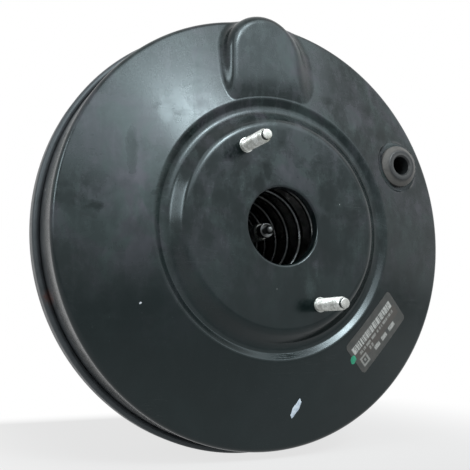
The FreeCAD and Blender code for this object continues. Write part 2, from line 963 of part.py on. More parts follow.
def main():
    os.makedirs("parts", exist_ok=True)
    pieces = (
        front_shell, rear_shell, front_stud_plate, front_studs, rear_stud_plate, rear_studs, vacuum_grommet,
        neck_bearing, neck_seal, seal_retainer, return_spring, dust_boot, diaphragm, diaphragm_plate,
        valve_body, reaction_disc, output_rod, output_rod_tip, output_rod_retainer, poppet_valve,
        poppet_retainer, poppet_spring, rod_spring, silencer, air_filter, valve_plunger, stop_key,
        input_rod, lock_nut, clevis,
    )
    for piece in pieces:
        export(piece.__name__, piece())


main()
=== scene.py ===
import json
import math

import bpy
import numpy as np
from mathutils import Matrix, Vector

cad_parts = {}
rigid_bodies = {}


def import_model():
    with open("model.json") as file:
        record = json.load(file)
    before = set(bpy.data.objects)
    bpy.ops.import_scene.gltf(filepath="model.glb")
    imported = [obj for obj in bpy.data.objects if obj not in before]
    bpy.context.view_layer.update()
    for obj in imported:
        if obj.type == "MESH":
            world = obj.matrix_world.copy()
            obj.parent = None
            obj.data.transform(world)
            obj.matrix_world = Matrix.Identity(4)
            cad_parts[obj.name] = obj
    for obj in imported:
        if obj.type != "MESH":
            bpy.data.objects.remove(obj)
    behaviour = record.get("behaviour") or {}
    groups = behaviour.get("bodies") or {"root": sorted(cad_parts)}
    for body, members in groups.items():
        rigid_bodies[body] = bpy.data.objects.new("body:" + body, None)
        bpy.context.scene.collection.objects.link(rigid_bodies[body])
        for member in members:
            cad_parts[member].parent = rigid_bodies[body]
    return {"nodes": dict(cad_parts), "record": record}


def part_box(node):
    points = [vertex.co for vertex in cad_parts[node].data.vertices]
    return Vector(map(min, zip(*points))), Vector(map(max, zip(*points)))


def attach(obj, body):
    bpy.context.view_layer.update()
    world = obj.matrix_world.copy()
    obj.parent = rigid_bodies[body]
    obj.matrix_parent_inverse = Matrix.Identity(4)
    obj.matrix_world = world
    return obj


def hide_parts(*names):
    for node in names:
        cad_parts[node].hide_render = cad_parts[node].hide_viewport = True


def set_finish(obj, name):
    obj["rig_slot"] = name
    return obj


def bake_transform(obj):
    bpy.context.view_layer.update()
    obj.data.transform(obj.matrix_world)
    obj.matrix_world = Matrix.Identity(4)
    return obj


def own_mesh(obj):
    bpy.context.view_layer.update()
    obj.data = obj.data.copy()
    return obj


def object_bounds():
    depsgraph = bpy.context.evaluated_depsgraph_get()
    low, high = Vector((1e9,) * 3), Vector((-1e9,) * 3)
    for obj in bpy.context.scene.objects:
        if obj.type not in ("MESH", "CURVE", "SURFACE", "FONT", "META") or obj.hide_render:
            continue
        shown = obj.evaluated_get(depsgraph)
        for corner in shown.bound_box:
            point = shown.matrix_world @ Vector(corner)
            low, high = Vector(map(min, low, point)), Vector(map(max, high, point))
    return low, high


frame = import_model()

cad_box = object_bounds()

MM = 0.001


# Sizes, in millimetres; the ones that the frame holds are read from it
def node_box(node):
    low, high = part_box(node)
    return [v / MM for v in low], [v / MM for v in high]


FRONT_Y = node_box("front_shell")[0][1]
REAR_HIGH = node_box("rear_shell")[1]
SPRING_LOW, SPRING_HIGH = node_box("return_spring")
ROD_SPRING_LOW, ROD_SPRING_HIGH = node_box("rod_spring")
BOOT_LOW, BOOT_HIGH = node_box("dust_boot")
ROD_LOW, ROD_HIGH = node_box("input_rod")
FRONT_TIP = node_box("front_studs")[0][1]
REAR_TIP = node_box("rear_studs")[1][1]
RIM_R = REAR_HIGH[0]
NECK_END = REAR_HIGH[1]
SHEET = 1.6
GAP = 0.3

# Front shell: radii, runs across, depths behind its flat face, and the fillets at its edges
HOLE_R = 23.4
HOLE_EDGE = 1.7
COLLAR = 6.0
FLAT_R = 63.7
FLAT_EDGE = 7.0
WALL_RUN = 7.8
VALLEY_R = FLAT_R + WALL_RUN
VALLEY_W = 4.4
VALLEY = 7.9
VALLEY_IN_EDGE = 6.5
VALLEY_OUT_EDGE = 2.6
RISE_RUN = 4.2
LIP_R = VALLEY_R + VALLEY_W + RISE_RUN
LIP = 5.724
LIP_FILLET = 3.4
CONE = math.tan(math.radians(14.0))
FLANGE_W = 4.5
SIDE_R = RIM_R - FLANGE_W
FLANGE = 49.6
FLANGE_EDGE = 0.8
FLANGE_ROOM = 2.0
SHOULDER = 3.6

# Pod and inlet pad
POD_X = -8.5
POD_HALF = 25.5
POD_DEPTH = 4.9
POD_END = SIDE_R - 0.4
POD_EDGE = 6.0
POD_BLEND = 4.0
POD_SOFT = 9.0
POD_SLOPE = 7.0
POD_FOOT_EDGE = 1.2
POD_CREASE = 0.6
POD_CREASE_START = 2.0
POD_CREASE_RUN = 6.0
POD_SHARP = 0.01
POD_LOWEST = 40.0
INLET = (96.0, 48.5)
INLET_HOLE_R = 10.4
PAD_R = 17.0
PAD_DEPTH = 12.369
PAD_BLEND = 2.0
PAD_REACH = 8.0

# Studs
STUD_R = 4.0
STUD_END_R = STUD_R - 0.6
SHANK_R = 4.8
HEAD_R = 8.0
HEAD = 3.0
DOG_R = 3.0
DOG = 2.6
DOG_ROOT = 0.8
M8_PITCH = 1.25
M10_PITCH = 1.5
FRONT_CIRCLE = 53.0
FRONT_ANGLE = 118.0
FRONT_PLATE = 3.0
REAR_PLATE = 2.5
REAR_STUD_X = 40.0
REAR_STUD_Z = 30.0

# Rear side
BODY_R = 21.0
BODY_END = 66.0
NECK_WALL = 4.2
NECK_OUT = BODY_R + NECK_WALL + SHEET
BEAD = 1.0
FOLD_R = SIDE_R + 0.6
FOLD_GAP = 0.1
FOLD_LENGTH = 11.4
REAR_SIDE_R = SIDE_R - 2.2
REAR_SIDE_END = -37.5
DISH_R = SIDE_R - 15.5
DISH_Y = -15.5
SEAT_R = 66.0
HUB_R = 34.0

# Springs: radius of the coil, wire and turns
RETURN_COIL = (29.0, 4.0, 6.4)
ROD_COIL = (10.9, 1.4, 3.5)

# Input rod
BALL_R = 5.5
BALL_NECK = 3.7
ROD_NECK_AT = 16.0
ROD_R = 5.0
ROD_START = 18.0
ROD_COLLAR_R = 12.2
ROD_COLLAR = 1.4
ROD_COLLAR_AT = 44.0
ROD_THREAD_AT = 82.0

# Dust boot
BOOT_THICK = 1.3
BOOT_FOLDS = 5
FOLD_CREST = NECK_OUT + 3.8
FOLD_ROOT = BODY_R + 0.8
BOOT_HOLE_R = 9.0
VENTS = 8
VENT_R = 1.6
VENT_CIRCLE = 13.5


def behind(depth):
    return FRONT_Y + depth


# Outlines in the (radius, y) plane: (r, y) or (r, y, fillet)
def parallel(points, distance):
    """The same outline moved to its left, with its fillets changed to suit."""
    out = []
    for i, point in enumerate(points):
        here = np.array(point[:2], float)
        ways = []
        if i > 0:
            ways.append(here - points[i - 1][:2])
        if i < len(points) - 1:
            ways.append(np.array(points[i + 1][:2], float) - here)
        lefts = [np.array([-w[1], w[0]]) / np.linalg.norm(w) for w in ways]
        way = sum(lefts) / np.linalg.norm(sum(lefts))
        moved = here + way * distance / (way @ lefts[0])
        if len(point) < 3:
            out.append(tuple(moved))
            continue
        turn = ways[0][0] * ways[1][1] - ways[0][1] * ways[1][0]
        out.append((*moved, max(point[2] - distance * np.sign(turn), 0.3)))
    return out


def outline(points, step=0.35):
    """The outline with its fillets rounded, as points about a step apart on the arcs."""
    out = [np.array(points[0][:2], float)]
    for before, here, after in zip(points, points[1:], points[2:]):
        p = np.array(here[:2], float)
        if len(here) < 3:
            out.append(p)
            continue
        d1 = p - before[:2]
        d2 = np.array(after[:2], float) - p
        d1 /= np.linalg.norm(d1)
        d2 /= np.linalg.norm(d2)
        half = math.acos(max(-1, min(1, d1 @ d2))) / 2
        a = p - d1 * here[2] * math.tan(half)
        way = (d2 - d1) / np.linalg.norm(d2 - d1)
        centre = p + way * here[2] / math.cos(half)
        turn = np.sign(d1[0] * d2[1] - d1[1] * d2[0])
        n = max(4, int(here[2] * 2 * half / step))
        v = a - centre
        for i in range(n + 1):
            t = turn * 2 * half * i / n
            out.append(centre + np.array([v[0] * math.cos(t) - v[1] * math.sin(t),
                                          v[0] * math.sin(t) + v[1] * math.cos(t)]))
    out.append(np.array(points[-1][:2], float))
    return np.array(out)


def filled_in(line, longest):
    """The same line with no stretch longer than that."""
    out = [line[0]]
    for a, b in zip(line, line[1:]):
        n = max(1, int(math.ceil(np.linalg.norm(b - a) / longest)))
        out.extend(a + (b - a) * i / n for i in range(1, n + 1))
    return np.array(out)


def wall(points, thickness, longest=3.0):
    """Closed section of a sheet of that thickness, to the left of the outline."""
    front = filled_in(outline(points), longest)
    back = filled_in(outline(parallel(points, thickness)), longest)
    return np.concatenate([front, back[::-1]])


# Meshes: each is (vertices in millimetres, faces) until it becomes a piece
def round_angles(count):
    return np.linspace(0, 2 * math.pi, count, endpoint=False)


def vertices(x, y, z):
    return np.stack([x, y, z], -1).reshape(-1, 3)


def grid_faces(rows, columns, wrap_rows, wrap_columns):
    r = np.arange(rows if wrap_rows else rows - 1)
    c = np.arange(columns if wrap_columns else columns - 1)
    R, C = np.meshgrid(r, c, indexing="ij")
    R1 = (R + 1) % rows
    C1 = (C + 1) % columns
    quads = np.stack([R * columns + C, R * columns + C1, R1 * columns + C1, R1 * columns + C], -1)
    return [tuple(int(i) for i in q) for q in quads.reshape(-1, 4)]


def tube_faces(rows, around):
    """Faces of a tube of so many rows, with both its ends closed."""
    last = (rows - 1) * around
    ends = [tuple(range(around)), tuple(range(last, last + around))[::-1]]
    return grid_faces(rows, around, False, True) + ends


def revolved(line, segments, x=0.0, z=0.0):
    """A closed section turned about a line along Y."""
    angle = round_angles(segments)
    r = line[:, 0][None, :]
    y = np.repeat(line[:, 1][None, :], segments, 0)
    verts = vertices(x + r * np.cos(angle)[:, None], y, z + r * np.sin(angle)[:, None])
    return verts, grid_faces(segments, len(line), True, True)


def together(meshes):
    verts, faces, start = [], [], 0
    for v, f in meshes:
        verts.append(v)
        faces.extend(tuple(i + start for i in face) for face in f)
        start += len(v)
    return np.concatenate(verts), faces


def placed(name, data):
    """A new object, linked into the scene."""
    thing = bpy.data.objects.new(name, data)
    bpy.context.scene.collection.objects.link(thing)
    return thing


def make_piece(name, mesh, sharp=None):
    verts, faces = mesh
    data = bpy.data.meshes.new(name)
    data.from_pydata([tuple(v) for v in np.asarray(verts) * MM], [], faces)
    data.update()
    piece = placed(name, data)
    data.polygons.foreach_set("use_smooth", [True] * len(data.polygons))
    if sharp:
        data.set_sharp_from_angle(angle=math.radians(sharp))
    outward(piece)
    return piece


def outward(piece):
    """Turns the faces outward, by the sign of the enclosed volume."""
    mesh = piece.data
    co = np.empty(len(mesh.vertices) * 3)
    mesh.vertices.foreach_get("co", co)
    co = co.reshape(-1, 3)
    mesh.calc_loop_triangles()
    tri = np.empty(len(mesh.loop_triangles) * 3, int)
    mesh.loop_triangles.foreach_get("vertices", tri)
    a, b, c = (co[tri.reshape(-1, 3)[:, i]] for i in range(3))
    if np.einsum("ij,ij->i", a, np.cross(b, c)).sum() < 0:
        mesh.flip_normals()


def settle(piece, body, slot, *nodes):
    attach(piece, body)
    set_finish(piece, slot)
    if nodes:
        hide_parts(*nodes)
    return piece


# Front shell
def front_points():
    side = LIP + (SIDE_R - LIP_R) * CONE
    return [
        (HOLE_R, behind(COLLAR)),
        (HOLE_R, behind(0), HOLE_EDGE),
        (FLAT_R, behind(0), FLAT_EDGE),
        (VALLEY_R, behind(VALLEY), VALLEY_IN_EDGE),
        (VALLEY_R + VALLEY_W, behind(VALLEY), VALLEY_OUT_EDGE),
        (LIP_R, behind(LIP), LIP_FILLET),
        (SIDE_R, behind(side), SHOULDER),
        (SIDE_R, behind(FLANGE), FLANGE_EDGE),
        (RIM_R - FLANGE_ROOM, behind(FLANGE)),
    ]


def smooth_less(a, b, k):
    """The smaller of two distances, with a soft change over k between them."""
    h = np.clip(0.5 + 0.5 * (b - a) / k, 0, 1)
    return b + (a - b) * h - k * h * (1 - h)


def cone_start():
    """Radius at which the lip's rounding ends and the plain cone begins."""
    rise = math.atan2(VALLEY - LIP, LIP_R - VALLEY_R - VALLEY_W)
    slope = math.atan(CONE)
    return LIP_R + LIP_FILLET * math.tan((rise + slope) / 2) * math.cos(slope)


def cone_solid(r, depth):
    """Distance outside the plain shell: cone and side wall with the rounded shoulder between them."""
    slope = math.atan(CONE)
    across = np.array([math.sin(slope), -math.cos(slope)])
    along = np.array([math.cos(slope), math.sin(slope)])
    d1 = (r - LIP_R) * across[0] + (depth - LIP) * across[1]
    d2 = r - SIDE_R
    corner = np.array([SIDE_R, LIP + (SIDE_R - LIP_R) * CONE])
    start = corner - along * SHOULDER * math.tan((math.pi / 2 - slope) / 2)
    centre = start - across * SHOULDER
    on_arc = ((r - start[0]) * along[0] + (depth - start[1]) * along[1] > 0) & (depth < centre[1])
    arc = np.hypot(r - centre[0], depth - centre[1]) - SHOULDER
    return np.where(on_arc, arc, np.maximum(d1, d2))


def rounded_more(a, b, radius):
    """Distance outside what two solids share, with the edge between them rounded."""
    corner = np.hypot(np.maximum(a + radius, 0), np.maximum(b + radius, 0))
    return np.minimum(np.maximum(a, b), -radius) + corner


def rounded_less(a, b, radius):
    return -rounded_more(-a, -b, radius)


def pod_top(r, depth):
    """Distance outside the pod's flat top, and outside the slope by which it runs down to the lip."""
    start = cone_start()
    drop = LIP + (start - LIP_R) * CONE - POD_DEPTH
    length = math.hypot(POD_SLOPE, drop)
    slope = -((r - start) * drop + (depth - POD_DEPTH - drop) * POD_SLOPE) / length
    return -smooth_less(depth - POD_DEPTH, -slope, POD_FOOT_EDGE)


def pod_solid(x, z, depth, cone):
    """Distance outside the cone with the pod: flat top, rounded edge, flanks that run out into the cone."""
    centre_z = math.sqrt(POD_END ** 2 - POD_X ** 2) - POD_HALF
    side = np.hypot(x - POD_X, np.maximum(z - centre_z, 0)) - POD_HALF
    top = pod_top(np.hypot(x, z), depth)
    blend = POD_BLEND + POD_SOFT * np.clip((x - POD_X) / POD_HALF, 0, 1)
    raised = rounded_more(rounded_less(cone, side, blend), top, POD_EDGE)
    crease = POD_CREASE * np.clip((-side - POD_CREASE_START) / POD_CREASE_RUN, 0, 1)
    return smooth_less(cone, raised, POD_SHARP + crease)


def shell_solid(x, z, depth):
    cone = cone_solid(np.hypot(x, z), depth)
    d = np.where(z > POD_LOWEST, pod_solid(x, z, depth, cone), cone)
    across = np.hypot(x - INLET[0], z - INLET[1]) - PAD_R
    near = across < PAD_REACH
    d = np.where(near, smooth_less(d, np.maximum(across, PAD_DEPTH - depth), PAD_BLEND), d)
    recess = np.maximum(across, depth - PAD_DEPTH)
    return np.where(near, -smooth_less(-d, recess, PAD_BLEND), d)


def front_shell_skin():
    """The sheet: plain inside the cone and at the flange, found along rays from a hub ring between them."""
    segments, halvings = 900, 30
    fine, plain, coarse = 0.8, 2.0, 4.0
    side_end = FLANGE - 6.0
    hub_r, hub_depth, nearest = 105.0, 45.0, 5.0
    points = front_points()
    line = outline(points)
    split = int(np.argmin(np.abs(line[:, 0] - cone_start()) + np.where(line[:, 1] < behind(VALLEY), 0, 1e3)))
    inner = filled_in(line[:split + 1], plain)
    outer = filled_in(line[split:], fine)
    stop = int(np.argmax(outer[:, 1] > behind(side_end)))
    angle = round_angles(segments)
    cosine, sine = np.cos(angle)[:, None], np.sin(angle)[:, None]
    hub = np.array([hub_r, behind(hub_depth)])
    ray = outer[1:stop] - hub
    length = np.linalg.norm(ray, axis=1)
    ray /= length[:, None]
    low = np.full((segments, len(length)), nearest)
    high = np.repeat(length[None, :] * 1.5 + 4, segments, 0)
    for _ in range(halvings):
        middle = (low + high) / 2
        r = hub[0] + ray[:, 0] * middle
        depth = hub[1] + ray[:, 1] * middle - FRONT_Y
        outside = shell_solid(r * cosine, r * sine, depth) > 0
        high = np.where(outside, middle, high)
        low = np.where(outside, low, middle)
    found = np.stack([hub[0] + ray[:, 0] * low, hub[1] + ray[:, 1] * low], -1)
    back = filled_in(outline(parallel(points, SHEET)), coarse)[::-1]
    fixed = [np.repeat(part[None], segments, 0) for part in (inner, filled_in(outer[stop:], plain), back)]
    grid = np.concatenate([fixed[0], found, fixed[1], fixed[2]], axis=1)
    verts = vertices(grid[..., 0] * cosine, grid[..., 1], grid[..., 0] * sine)
    in_hole = np.hypot(verts[:, 0] - INLET[0], verts[:, 2] - INLET[1]) < INLET_HOLE_R
    faces = [f for f in grid_faces(segments, grid.shape[1], True, True) if not in_hole[list(f)].all()]
    return settle(make_piece("front_shell_skin", (verts, faces)), "shell", "shell_paint", "front_shell")


# Rear shell
def rear_points():
    rim_front = FLANGE - SHEET - FOLD_GAP
    rim_back = rim_front + FOLD_LENGTH
    return [
        (FOLD_R, behind(rim_front)),
        (RIM_R, behind(rim_front), 2.2),
        (RIM_R, behind(rim_back), 2.0),
        (REAR_SIDE_R, behind(rim_back), 1.0),
        (REAR_SIDE_R, REAR_SIDE_END, 10.0),
        (DISH_R, DISH_Y, 16.0),
        (SEAT_R, 0, 8.0),
        (NECK_OUT, 0, 2.0),
        (NECK_OUT, NECK_END),
    ]


def rear_shell_skin():
    bead = [(NECK_OUT, NECK_END - 2.8), (NECK_OUT + BEAD, NECK_END - 1.6, 0.4),
            (NECK_OUT + BEAD, NECK_END - 0.6, 0.4), (NECK_OUT + 0.3, NECK_END)]
    front = filled_in(outline(rear_points()[:-1] + bead), 3.0)
    back = filled_in(outline(parallel(rear_points(), SHEET)), 3.0)
    mesh = revolved(np.concatenate([front, back[::-1]]), 720)
    return settle(make_piece("rear_shell_skin", mesh), "shell", "shell_paint", "rear_shell")


# Springs
def coil(radius, wire, turns, y0, y1, around=18, per_turn=60):
    """A wire coil along Y with its end turns closed."""
    closed, play = 0.75, 0.2
    low = y0 + wire / 2
    high = y1 - wire / 2
    dead = (wire + play) * closed
    pitch = (high - low - 2 * dead) / (turns - 2 * closed)
    t = np.linspace(0, turns, int(turns * per_turn) + 1)
    start = np.minimum(t, closed)
    finish = np.maximum(0, t - (turns - closed))
    y = low + dead * (start + finish) / closed + pitch * (t - start - finish)
    a = 2 * math.pi * t
    path = np.stack([radius * np.cos(a), y, radius * np.sin(a)], -1)
    tangent = np.gradient(path, axis=0)
    tangent /= np.linalg.norm(tangent, axis=1)[:, None]
    out = np.stack([np.cos(a), np.zeros_like(a), np.sin(a)], -1)
    side = np.cross(tangent, out)
    ring = round_angles(around)
    tube = (path[:, None, :] + wire / 2 * (np.cos(ring)[None, :, None] * out[:, None, :]
                                           + np.sin(ring)[None, :, None] * side[:, None, :]))
    return tube.reshape(-1, 3), tube_faces(len(t), around)


def return_spring_wire():
    mesh = coil(*RETURN_COIL, SPRING_LOW[1], SPRING_HIGH[1])
    piece = settle(make_piece("return_spring_wire", mesh, 60), "shell", "spring_steel", "return_spring")
    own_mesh(piece)


def rod_spring_wire():
    mesh = coil(*ROD_COIL, ROD_SPRING_LOW[1], ROD_SPRING_HIGH[1], 12, 48)
    piece = settle(make_piece("rod_spring_wire", mesh, 60), "power_piston", "spring_steel", "rod_spring")
    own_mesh(piece)


# Threads
def thread(radius, pitch, y0, y1, x=0.0, z=0.0, chamfer=0.9, segments=48):
    """A threaded stretch along Y from y0 to y1, which has a chamfer at y1 and runs out at y0."""
    depth = 0.61 * pitch
    crest, root = 0.12, 0.92
    plain, run_out, rows_per_turn = 0.3, 1.2, 12
    way = 1 if y1 > y0 else -1
    length = abs(y1 - y0)
    rows = int(length / pitch * rows_per_turn)
    s = np.linspace(0, length, rows)
    angle = round_angles(segments)
    S, A = np.meshgrid(s, angle, indexing="ij")
    wave = np.abs((S / pitch - way * A / (2 * math.pi)) % 1.0 - 0.5) * 2
    cut = depth * (np.clip(wave, crest, root) - crest) / (root - crest)
    r = radius - cut * np.clip((S - plain) / run_out, 0, 1)
    r = np.minimum(r, radius - np.clip(S - (length - chamfer), 0, None))
    verts = vertices(x + r * np.cos(A), y0 + way * S, z + r * np.sin(A))
    return verts, tube_faces(rows, segments)


def solid_of(points, segments=48, x=0.0, z=0.0):
    """A turned solid whose outline starts and ends on the axis."""
    line = outline(points, 0.2)
    line[:, 0] = np.maximum(line[:, 0], 1e-4)
    verts, _ = revolved(line, segments, x, z)
    count = len(line)
    ends = [tuple(range(0, segments * count, count)), tuple(range(count - 1, segments * count, count))[::-1]]
    return verts, grid_faces(segments, count, True, False) + ends


def stud(seat, face, end, way, x, z, dog):
    """Head and shank up to the face, the thread, and for a dog point its turned end."""
    back = seat - way * HEAD
    top = face + way * 0.05
    head = solid_of([(0, back), (HEAD_R, back, 0.4), (HEAD_R, seat, 0.2), (SHANK_R, seat),
                     (SHANK_R, face, 0.3), (STUD_END_R, top), (0, top)], 64, x, z)
    stop = end - way * DOG if dog else end
    parts = [head, thread(STUD_R, M8_PITCH, face, stop, x, z)]
    if dog:
        root = stop - way * DOG_ROOT
        parts.append(solid_of([(0, root), (DOG_R, root), (DOG_R, end, 0.5), (0, end)], 40, x, z))
    return together(parts)


def front_studs_threaded():
    seat = behind(SHEET + FRONT_PLATE)
    a = math.radians(FRONT_ANGLE)
    x, z = FRONT_CIRCLE * math.cos(a), FRONT_CIRCLE * math.sin(a)
    meshes = [stud(seat, FRONT_Y, FRONT_TIP, -1, x * i, z * i, True) for i in (1, -1)]
    piece = make_piece("front_studs_threaded", together(meshes), 42)
    return settle(piece, "shell", "zinc_plate", "front_studs")


def rear_studs_threaded():
    seat = -SHEET - REAR_PLATE
    meshes = [stud(seat, 0, REAR_TIP, 1, REAR_STUD_X * i, REAR_STUD_Z * j, False)
              for i in (-1, 1) for j in (-1, 1)]
    piece = make_piece("rear_studs_threaded", together(meshes), 42)
    return settle(piece, "shell", "zinc_plate", "rear_studs")


def input_rod_threaded():
    centre = ROD_LOW[1] + BALL_R
    ball = [(BALL_R * math.sin(t), centre - BALL_R * math.cos(t))
            for t in np.linspace(0, math.pi - math.asin(BALL_NECK / BALL_R), 24)]
    collar_end = ROD_COLLAR_AT + ROD_COLLAR
    shaft_end = ROD_THREAD_AT + 0.3
    shaft = solid_of(ball + [(BALL_NECK, ROD_NECK_AT), (ROD_R, ROD_START), (ROD_R, ROD_COLLAR_AT),
                             (ROD_COLLAR_R, ROD_COLLAR_AT, 0.3), (ROD_COLLAR_R, collar_end, 0.3),
                             (ROD_R, collar_end), (ROD_R, ROD_THREAD_AT), (ROD_R - 0.7, shaft_end),
                             (0, shaft_end)], 64)
    screw = thread(ROD_R, M10_PITCH, ROD_THREAD_AT, ROD_HIGH[1], segments=64)
    piece = make_piece("input_rod_threaded", together([shaft, screw]), 42)
    return settle(piece, "pushrod", "zinc_plate", "input_rod")


# Dust boot, in three pieces that share their cut ends
def boot_points():
    clip = NECK_OUT + GAP
    over_bead = clip + 1.2
    first = NECK_END + 1.0
    last = BODY_END - 6.0
    end = BODY_END + GAP
    sleeve = BODY_R + GAP
    pitch = (last - first) / BOOT_FOLDS
    points = [(clip, 7.0), (clip, NECK_END - 2.6, 0.6), (over_bead, NECK_END - 1.4, 0.6),
              (over_bead, first, 1.0)]
    for i in range(BOOT_FOLDS):
        y = first + pitch * i
        if i > 0:
            points.append((FOLD_ROOT, y, 2.0))
        points.append((FOLD_CREST, y + pitch / 2, 1.2))
    points += [(sleeve + 1.5, last + 1.0, 2.0), (sleeve, last + 3.0, 0.6), (sleeve, end, 0.6),
               (BOOT_HOLE_R, end)]
    return points


def dust_boot():
    fine, around, corner = 0.8, 160, 60
    inner = filled_in(outline(boot_points()), fine)
    outer = filled_in(outline(parallel(boot_points(), -BOOT_THICK)), fine)
    low_cut = NECK_END - 0.3
    high_cut = BODY_END - 1.6
    past_end = BODY_END + 100.0

    def between(y0, y1, apart=0.05):
        sides = []
        for line in (inner, outer):
            keep = (line[:, 1] > y0 + apart) & (line[:, 1] < y1 - apart)
            r0 = np.interp(y0, line[:, 1], line[:, 0])
            near_end = line[:, 1] < BODY_END
            r1 = np.interp(y1, line[near_end][:, 1], line[near_end][:, 0])
            rows = [(r0, y0)] if y0 > BOOT_LOW[1] else [tuple(line[0])]
            rows += [tuple(p) for p in line[keep]]
            rows += [(r1, y1)] if y1 < BODY_END else [tuple(line[-1])]
            sides.append(np.array(rows))
        return np.concatenate([sides[0], sides[1][::-1]])

    clip = make_piece("boot_clip", revolved(between(BOOT_LOW[1], low_cut), around), corner)
    settle(clip, "shell", "boot_rubber", "dust_boot")
    bellows = make_piece("boot_bellows", revolved(between(low_cut, high_cut), around), corner)
    settle(bellows, "shell", "boot_rubber", "dust_boot")
    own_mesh(bellows)
    cap = make_piece("boot_cap", revolved(between(high_cut, past_end), around), corner)
    drill(cap, VENTS, VENT_R, VENT_CIRCLE, BOOT_HIGH[1] - 6.0, BOOT_HIGH[1] + 2.0)
    settle(cap, "power_piston", "boot_rubber", "dust_boot")


def drill(piece, count, radius, circle, y0, y1):
    """Round holes along Y, cut and applied."""
    cutters = []
    for i in range(count):
        a = 2 * math.pi * (i + 0.5) / count
        cutters.append(solid_of([(0, y0), (radius, y0), (radius, y1), (0, y1)], 24,
                                circle * math.cos(a), circle * math.sin(a)))
    tool = make_piece("vent_tool", together(cutters))
    cut = piece.modifiers.new("vents", "BOOLEAN")
    cut.object = tool
    cut.operation = "DIFFERENCE"
    cut.solver = "EXACT"
    depsgraph = bpy.context.evaluated_depsgraph_get()
    done = bpy.data.meshes.new_from_object(piece.evaluated_get(depsgraph))
    piece.modifiers.clear()
    piece.data = done
    bpy.data.objects.remove(tool)
    done.set_sharp_from_angle(angle=math.radians(50))


# Diaphragm: its bead sits in the rim, the rest lies along the support plate
def diaphragm_rubber():
    thick, plate, plate_at, plate_rim, room = 1.8, 1.5, -16.0, -34.0, 22.3
    back = plate_at + plate
    plate_r = REAR_SIDE_R - room
    on_plate = parallel([(plate_r, plate_rim), (plate_r, back - 6.0, 5.0), (HUB_R + 11, back + 3.0, 3.0),
                         (HUB_R + 4, back, 3.0), (BODY_R - 0.1, back)], -GAP)
    front = behind(FLANGE + SHEET) + FOLD_GAP
    inside = REAR_SIDE_R - SHEET - 1.2 - thick
    points = [(SIDE_R - 0.7, front + 3.4), (inside, front + 3.4, 2.4), (inside, -42.0, 5.0),
              (on_plate[0][0], -30.0, 4.5)] + on_plate[1:-1] + [(BODY_R + 1.2, on_plate[-1][1])]
    bead_in, bead_out, bead_end = SIDE_R - 1.2, RIM_R - 1.9, 59.3
    bead_back = behind(bead_end - SHEET) - FOLD_GAP
    bead = outline([(bead_in, front), (bead_out, front, 0.8), (bead_out, bead_back, 0.8),
                    (bead_in, bead_back)])
    mesh = together([revolved(wall(points, -thick, 2.0), 240), revolved(bead, 240)])
    piece = make_piece("diaphragm_rubber", mesh, 50)
    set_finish(piece, "seal_rubber")
    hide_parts("diaphragm")
    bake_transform(piece)


# Marks on the cone: everything that lies on it is drawn in its x and z
def cone_y(x, z):
    return behind(LIP + (np.hypot(x, z) - LIP_R) * CONE)


# Sticker: radius and angle of its middle, how far it is turned there, width and height
LABEL_AT = (96.7, -40.7)
LABEL_TURN = -3.0
LABEL_SIZE = (50.3, 24.8)


def label_film():
    """The sticker's film, with its corners rounded, and a UV map in its own millimetres."""
    width, height = LABEL_SIZE
    corner, thick, sunk = 2.2, 0.12, 0.2
    a = math.radians(LABEL_AT[1])
    centre = np.array([LABEL_AT[0] * math.cos(a), LABEL_AT[0] * math.sin(a)])
    turned = a + math.radians(LABEL_TURN)
    out = np.array([math.cos(turned), math.sin(turned)])
    along = np.array([-out[1], out[0]])
    across, down = 44, 24
    u = np.linspace(-width / 2, width / 2, across)
    v = np.linspace(-height / 2, height / 2, down)
    U, V = np.meshgrid(u, v, indexing="ij")
    reach = np.maximum(np.abs(U) - (width / 2 - corner), 0)
    limit = height / 2 - corner + np.sqrt(np.maximum(corner ** 2 - reach ** 2, 0))
    V = V * limit / (height / 2)
    x = centre[0] + along[0] * U + out[0] * V
    z = centre[1] + along[1] * U + out[1] * V
    top = vertices(x, cone_y(x, z) - thick, z)
    low = vertices(x, cone_y(x, z) + sunk, z)
    count = across * down
    faces = grid_faces(across, down, False, False)
    faces += [tuple(i + count for i in face)[::-1] for face in faces]
    order = np.arange(count).reshape(across, down)
    rim = [*order[:, 0], *order[-1, 1:], *order[-2::-1, -1], *order[0, -2:0:-1]]
    rim = [int(i) for i in rim]
    faces += [(p, p + count, q + count, q) for p, q in zip(rim, rim[1:] + rim[:1])]
    piece = make_piece("label_film", (np.concatenate([top, low]), faces), 40)
    layer = piece.data.uv_layers.new(name="film")
    flat = np.stack([U / width + 0.5, V / height + 0.5], -1).reshape(-1, 2)
    for loop in piece.data.loops:
        layer.data[loop.index].uv = flat[loop.vertex_index % count]
    return settle(piece, "shell", "shell_paint")


def paint_patch(name, centre, along, across, turn, lift, seed):
    """A blot of paint: an uneven oval, thickest in its middle."""
    rng = np.random.default_rng(seed)
    rings, spokes = 7, 40
    uneven, squareness, sunk, thick = 0.09, 3.2, 0.03, 0.3
    a = round_angles(spokes)
    edge = 1 + sum(rng.uniform(-uneven, uneven) * np.cos(k * a + rng.uniform(0, 6)) for k in range(2, 7))
    square = (np.abs(np.cos(a)) ** squareness + np.abs(np.sin(a)) ** squareness) ** (-1 / squareness)
    c, s = math.cos(math.radians(turn)), math.sin(math.radians(turn))
    verts = []
    for k in range(rings + 1):
        t = k / rings
        p = t * edge * square * along * np.cos(a)
        q = t * edge * square * across * np.sin(a)
        x = centre[0] + p * c - q * s
        z = centre[1] + p * s + q * c
        rise = lift * (1 - t ** 4) - sunk * t
        verts.append(vertices(x, cone_y(x, z) - rise, z))
    under = verts[-1].copy()
    under[:, 1] += thick
    verts = np.concatenate(verts + [under])
    piece = make_piece(name, (verts, tube_faces(rings + 2, spokes)), 50)
    return settle(piece, "shell", "shell_paint")


